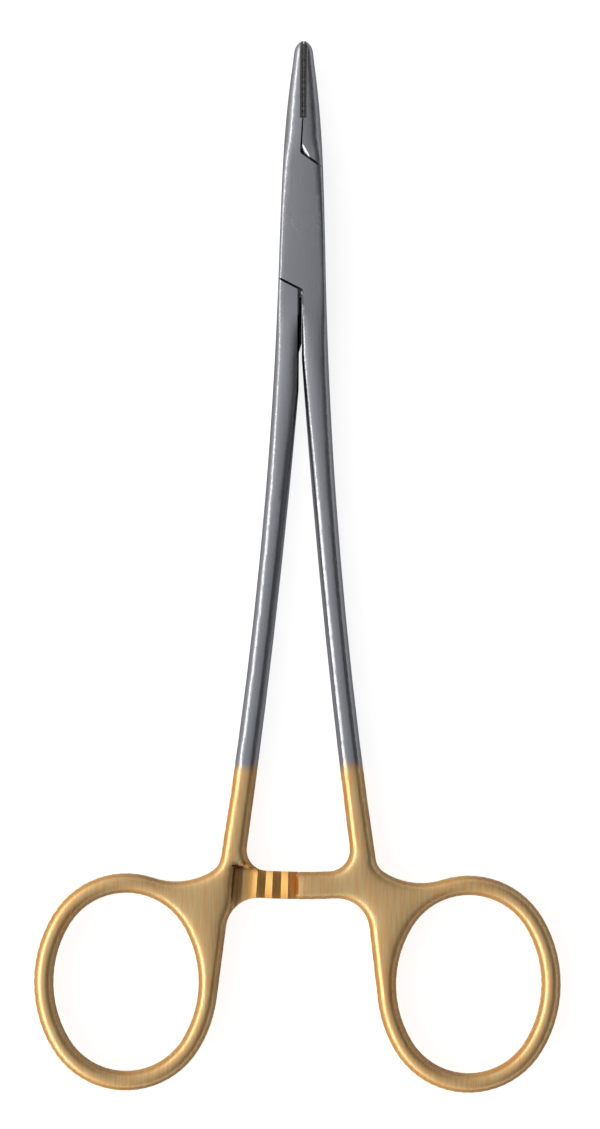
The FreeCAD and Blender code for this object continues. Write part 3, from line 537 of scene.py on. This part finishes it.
@dataclass
class SoftCrown:
    """Soft fall of the front and back faces towards the outline, as polishing leaves it.

    Falls are shares of the height above the middle. The inner walls begin to count at inner_start and
    count fully after inner_blend. The two heights of the kept core are where the fall in the box begins
    and where it is whole.
    """

    reach: float = 4.2 * MM
    fall: float = 0.22
    fall_in_box: float = 0.06
    fall_of_jaws: float = 0.26
    edge_fall: float = 0.40
    edge_run: float = 0.25 * MM
    box_end: float = 9.0 * MM
    jaw_blend: float = 4.0 * MM
    shank_blend: float = 13.0 * MM
    kept_core: tuple[float, float] = (0.90 * MM, 1.65 * MM)
    handle_top: float = -80.0 * MM
    inner_start: float = -14.0 * MM
    inner_blend: float = 22.0 * MM
    handle_cut: float = 0.95 * MM
    band: float = 2.0 * MM
    outer_share: float = 0.80
    softening: float = 0.02 * MM
    shortest: float = 1e-7
    batch: int = 4000
    outlines: dict[int, np.ndarray] = field(default_factory=dict)
    weights: dict[int, np.ndarray] = field(default_factory=dict)

    def learn(self, skins: list[Skin]) -> None:
        """Take the outlines that the faces fall to.

        Above the handles the outline is the cut at the middle height. Its inner walls, those that aren't near
        the greatest width of their band, count for nothing in the jaws and the box, and for more and more on
        the way down the shanks. Handles are cut nearer to the face in question, because each ratchet bar has
        half the thickness.

        Args:
            skins: Skins of the two forgings.
        """
        for side in (1, -1):
            cut = np.concatenate([skin.slice(MID_HEIGHT) for skin in skins])
            low_cut = np.concatenate([skin.slice(MID_HEIGHT + side * self.handle_cut) for skin in skins])
            middle = cut.mean(axis=1)
            bands = np.floor(middle[:, 1] / self.band).astype(int)
            bands -= bands.min()
            half_width = np.zeros(bands.max() + 1)
            np.maximum.at(half_width, bands, np.abs(middle[:, 0]))
            outer = np.abs(middle[:, 0]) > self.outer_share * half_width[bands]
            inner_weight = np.clip((self.inner_start - middle[:, 1]) / self.inner_blend, 0.0, 1.0)
            weight = np.where(outer, 1.0, inner_weight)
            kept = (weight > 0) & (middle[:, 1] > self.handle_top)
            handles = low_cut[low_cut.mean(axis=1)[:, 1] <= self.handle_top]
            self.outlines[side] = np.concatenate([cut[kept], handles])
            self.weights[side] = np.concatenate([weight[kept], np.ones(len(handles))])

    def nearness(self, places: np.ndarray, outline: np.ndarray, weight: np.ndarray) -> np.ndarray:
        """Smooth distance of points from an outline.

        It is the root of two over the sum along the outline of one over the cube of the distance, which is
        the plain distance beside a long straight edge and has no ridge half way between two edges. The sum
        over a straight piece has a closed form in the distance across and the two distances along it.

        Args:
            places: Points in plan.
            outline: Pieces of the outline.
            weight: How much each piece counts.

        Returns:
            The smooth distance of each point.
        """
        start, along = outline[:, 0], outline[:, 1] - outline[:, 0]
        length = np.linalg.norm(along, axis=1)
        keep = length > self.shortest
        start, along, length, weight = start[keep], along[keep] / length[keep, None], length[keep], weight[keep]
        result = np.empty(len(places))
        for low in range(0, len(places), self.batch):
            chosen = slice(low, low + self.batch)
            away = places[chosen, None, :] - start[None]
            forward = (away * along).sum(axis=2)
            across = away[:, :, 0] * along[:, 1] - away[:, :, 1] * along[:, 0]
            square = across ** 2 + self.softening ** 2
            total = ((forward / np.sqrt(square + forward ** 2)
                      - (forward - length) / np.sqrt(square + (forward - length) ** 2)) / square) @ weight
            result[chosen] = np.sqrt(2.0 / np.maximum(total, 1e-9))
        return result

    def shape(self, skin: Skin) -> Skin:
        """Skin with its faces let down towards the outline.

        A point's height above the middle shrinks by the local fall times the square of one less its smooth
        distance over the reach, and by a second fall that fades as an exponential away from the edge and
        leaves drafted sides. A smooth step takes the falls from those of the box to those beyond it. In the
        box the core stays, so that the hidden fits keep their clearances.

        Args:
            skin: Refined skin.

        Returns:
            The shaped skin.
        """
        places = skin.places.copy()
        y = places[:, 1]
        rise = places[:, 2] - MID_HEIGHT
        blend = np.where(y > 0, self.jaw_blend, self.shank_blend)
        outside = np.clip((np.abs(y) - self.box_end) / blend, 0.0, 1.0)
        outside = outside * outside * (3 - 2 * outside)
        fall = self.fall_in_box + (np.where(y > 0, self.fall_of_jaws, self.fall) - self.fall_in_box) * outside
        core_low, core_high = self.kept_core
        off_core = np.clip((np.abs(rise) - core_low) / (core_high - core_low), 0.0, 1.0)
        share = fall * (outside + (1 - outside) * off_core)
        for side in (1, -1):
            chosen = (rise * side > 0) & (share > 0)
            near = self.nearness(places[chosen, :2], self.outlines[side], self.weights[side])
            lost = share[chosen] * np.clip(1 - near / self.reach, 0.0, 1.0) ** 2
            lost += self.edge_fall * outside[chosen] * np.exp(-near / self.edge_run)
            places[chosen, 2] -= rise[chosen] * lost
        return Skin(places, skin.triangles)


@dataclass
class Piece:
    """One CAD node as a closed skin with rounded shading and softly crowned faces."""

    node: str
    body: Body
    slot: Slot
    longest_edge: float = 0.7 * MM
    crease_deg: float = 34.0

    def build(self, crown: SoftCrown, material: bpy.types.Material) -> bpy.types.Object:
        """Make the skin, dress it, and let it stand for the node.

        Args:
            crown: Fall of the faces.
            material: Finish of the skin.

        Returns:
            The new piece.
        """
        skin = crown.shape(Skin.of_node(self.node).refined(self.longest_edge))
        mesh = bpy.data.meshes.new(self.node + "_skin")
        mesh.from_pydata(skin.places, [], skin.triangles)
        mesh.polygons.foreach_set("use_smooth", np.ones(len(mesh.polygons), dtype=bool))
        mesh.set_sharp_from_angle(angle=math.radians(self.crease_deg))
        mesh.materials.append(material)
        piece = bpy.data.objects.new(self.node + "_skin", mesh)
        bpy.context.scene.collection.objects.link(piece)
        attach(piece, self.body.value)
        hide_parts(self.node)
        LOG.info("%s: %d faces", piece.name, len(mesh.polygons))
        return piece


@dataclass
class GapWeb:
    """Thin near-black web in the core of one half that closes a gap from behind: a painted shadow, so that the gap
    looks dark.

    Its plan is in millimetres.
    """

    name: str
    body: Body
    plan: tuple[tuple[float, float], ...]
    half_height: float

    def build(self, material: bpy.types.Material) -> bpy.types.Object:
        """Make the upright prism over the plan, centred on the middle height.

        Args:
            material: Near-black finish of this painted shadow.

        Returns:
            The web.
        """
        plan = np.array(self.plan) * MM
        count = len(plan)
        low, high = (np.column_stack([plan, np.full(count, MID_HEIGHT + side * self.half_height)])
                     for side in (-1, 1))
        here = np.arange(count)
        after = (here + 1) % count
        walls = np.stack([here, after, after + count, here + count], axis=1).tolist()
        mesh = bpy.data.meshes.new(self.name)
        mesh.from_pydata(np.concatenate([low, high]), [], [here[::-1].tolist(), (here + count).tolist(), *walls])
        mesh.materials.append(material)
        piece = bpy.data.objects.new(self.name, mesh)
        bpy.context.scene.collection.objects.link(piece)
        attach(piece, self.body.value)
        LOG.info("%s: %d faces", piece.name, len(mesh.polygons))
        return piece


@dataclass(frozen=True)
class Lamp:
    """Rectangular light that faces the instrument.

    Its size is its height and its length along the instrument, and its power is in watts.
    """

    name: str
    place: Triple
    size: tuple[float, float]
    power: float
    colour: Colour = WHITE

    def hang(self, target: Triple) -> bpy.types.Object:
        """Hang the light.

        Args:
            target: Place that it faces.

        Returns:
            The light.
        """
        lamp = bpy.data.lights.new(self.name, "AREA")
        lamp.shape = "RECTANGLE"
        lamp.size, lamp.size_y = self.size
        lamp.energy = self.power
        lamp.color = self.colour
        light = bpy.data.objects.new(self.name, lamp)
        bpy.context.scene.collection.objects.link(light)
        light.location = self.place
        light.rotation_euler = (Vector(target) - Vector(self.place)).to_track_quat("-Z", "X").to_euler()
        return light


@dataclass
class Studio:
    """Pale floor, two lights and the room's soft gradient, as sideways places with their brightness."""

    floor_half: float = 1.6
    floor_colour: Colour = (0.62, 0.62, 0.62)
    floor_glow: float = 0.80
    floor_roughness: float = 0.9
    floor_gloss: float = 0.1
    centre: Triple = (0.0, -0.05, 0.0)
    room: tuple[tuple[float, float], ...] = ((0.0, 0.72), (0.34, 0.64), (0.5, 0.45), (0.70, 0.12), (1.0, 0.05))
    room_blue: float = 1.02
    lamps: tuple[Lamp, ...] = (
        Lamp("key_left", (-0.86, -0.15, 0.42), (0.16, 2.0), 4.9, (1.0, 0.95, 0.925)),
        Lamp("low_right", (0.90, 0.0, 0.16), (0.16, 1.20), 0.12),
    )

    def floor(self) -> bpy.types.Object:
        """Lay a plain floor under the instrument.

        Returns:
            The floor.
        """
        side = np.array([-self.floor_half, self.floor_half])
        x, y = np.meshgrid(side, side)
        places = np.stack([x.ravel(), y.ravel(), np.zeros(4)], axis=1)
        mesh = bpy.data.meshes.new("floor")
        mesh.from_pydata(places, [], [(0, 1, 3, 2)])
        board = NodeBoard("floor")
        shader = board.finish(Base_Color=self.floor_colour, Roughness=self.floor_roughness, Emission_Color=WHITE,
                              Emission_Strength=self.floor_glow)
        shader.inputs["Specular IOR Level"].default_value = self.floor_gloss
        mesh.materials.append(board.material)
        floor = bpy.data.objects.new("floor", mesh)
        bpy.context.scene.collection.objects.link(floor)
        return floor

    def world(self) -> None:
        """Give the room a soft light that falls from the left over the top to the right.

        The brightness is a smooth curve of the sideways part of the direction.
        """
        world = bpy.data.worlds.new("room")
        bpy.context.scene.world = world
        world.use_nodes = True
        nodes = world.node_tree.nodes
        links = world.node_tree.links
        nodes.clear()
        direction = nodes.new("ShaderNodeTexCoord").outputs["Generated"]
        split = nodes.new("ShaderNodeSeparateXYZ")
        links.new(direction, split.inputs[0])
        ramp = nodes.new("ShaderNodeValToRGB")
        ramp.color_ramp.interpolation = "B_SPLINE"
        for position, _ in self.room[1:-1]:
            ramp.color_ramp.elements.new(position)
        for element, (_, value) in zip(ramp.color_ramp.elements, self.room):
            element.color = (value, value, value * self.room_blue, 1.0)
        centred = nodes.new("ShaderNodeMapRange")
        centred.inputs["From Min"].default_value = -1.0
        links.new(split.outputs["X"], centred.inputs["Value"])
        links.new(centred.outputs["Result"], ramp.inputs["Fac"])
        background = nodes.new("ShaderNodeBackground")
        links.new(ramp.outputs["Color"], background.inputs["Color"])
        output = nodes.new("ShaderNodeOutputWorld")
        links.new(background.outputs["Background"], output.inputs["Surface"])

    def build(self) -> None:
        """Set up the floor, the lights and the room."""
        self.floor()
        self.world()
        for lamp in self.lamps:
            lamp.hang(self.centre)
        bpy.context.scene.view_settings.view_transform = "Standard"


@dataclass
class PhotographView:
    """Camera straight above the instrument, rolled and placed as the photograph shows it.

    The lens and the sensor are in millimetres, and the clipping distances in metres.
    """

    millimetres_per_pixel: float = 152.4 / 1051
    frame_height_px: float = 1129.0
    pivot_from_centre_px: tuple[float, float] = (2.5, 342.5)
    lean_deg: float = 0.39
    lens: float = 200.0
    sensor: float = 36.0
    clip: tuple[float, float] = (0.05, 20.0)

    def build(self) -> bpy.types.Object:
        """Place the camera.

        The distance makes one pixel cover its share of a millimetre at the middle of the instrument. The
        centre of view is the pivot's offset in the frame, turned by the instrument's lean.

        Returns:
            The camera.
        """
        scale = self.millimetres_per_pixel * MM
        distance = self.frame_height_px * scale * self.lens / self.sensor
        lean = math.radians(self.lean_deg)
        across, up = (-offset * scale for offset in self.pivot_from_centre_px)
        data = bpy.data.cameras.new("photograph_view")
        data.type = "PERSP"
        data.lens = self.lens
        data.sensor_width = self.sensor
        data.clip_start, data.clip_end = self.clip
        camera = bpy.data.objects.new("photograph_view", data)
        camera.location = (across * math.cos(lean) - up * math.sin(lean),
                           across * math.sin(lean) + up * math.cos(lean),
                           distance + MID_HEIGHT)
        camera.rotation_euler = (0.0, 0.0, lean)
        bpy.context.scene.collection.objects.link(camera)
        bpy.context.scene.camera = camera
        return camera


def main() -> None:
    """Dress the needle holder, light it and place the camera."""
    logging.basicConfig(level=logging.INFO, format="%(message)s")
    PhotographView().build()
    crown = SoftCrown()
    crown.learn([Skin.of_node(node) for node in ("female_half", "male_half")])
    plated = PlatedSteel().material()
    hard_metal = HardMetal().material()
    for node, body, slot in (("female_half", Body.FEMALE, Slot.STEEL),
                             ("male_half", Body.MALE, Slot.STEEL),
                             ("lock_pin", Body.FEMALE, Slot.STEEL),
                             ("female_jaw_insert", Body.FEMALE, Slot.HARD_METAL),
                             ("male_jaw_insert", Body.MALE, Slot.HARD_METAL)):
        Piece(node, body, slot).build(crown, plated if slot is Slot.STEEL else hard_metal)
    # Painted shadow: near-black sheets behind the gaps between the halves, where only shade would be.
    gap_shade_finish = HardMetal("painted_gap_shade", (0.02, 0.02, 0.022), (0.05, 0.05, 0.055), 0.6).material()
    for web in (GapWeb("jaw_gap_web", Body.FEMALE,
                       ((-0.42, 10.02), (-0.18, 10.02), (0.07, 14.80), (0.07, 14.98), (-0.16, 14.98)), 1.00 * MM),
                GapWeb("shank_gap_web", Body.MALE,
                       ((-0.60, -18.8), (-0.34, -18.8), (0.0, -17.6), (0.0, -10.5), (-0.60, -10.5)), 0.70 * MM),
                GapWeb("insert_gap_web", Body.FEMALE,
                       ((-0.10, 15.0), (0.02, 15.0), (0.02, 25.8), (-0.10, 25.8)), 0.05 * MM)):
        web.build(gap_shade_finish)
    Studio().build()


if __name__ == "__main__":
    main()
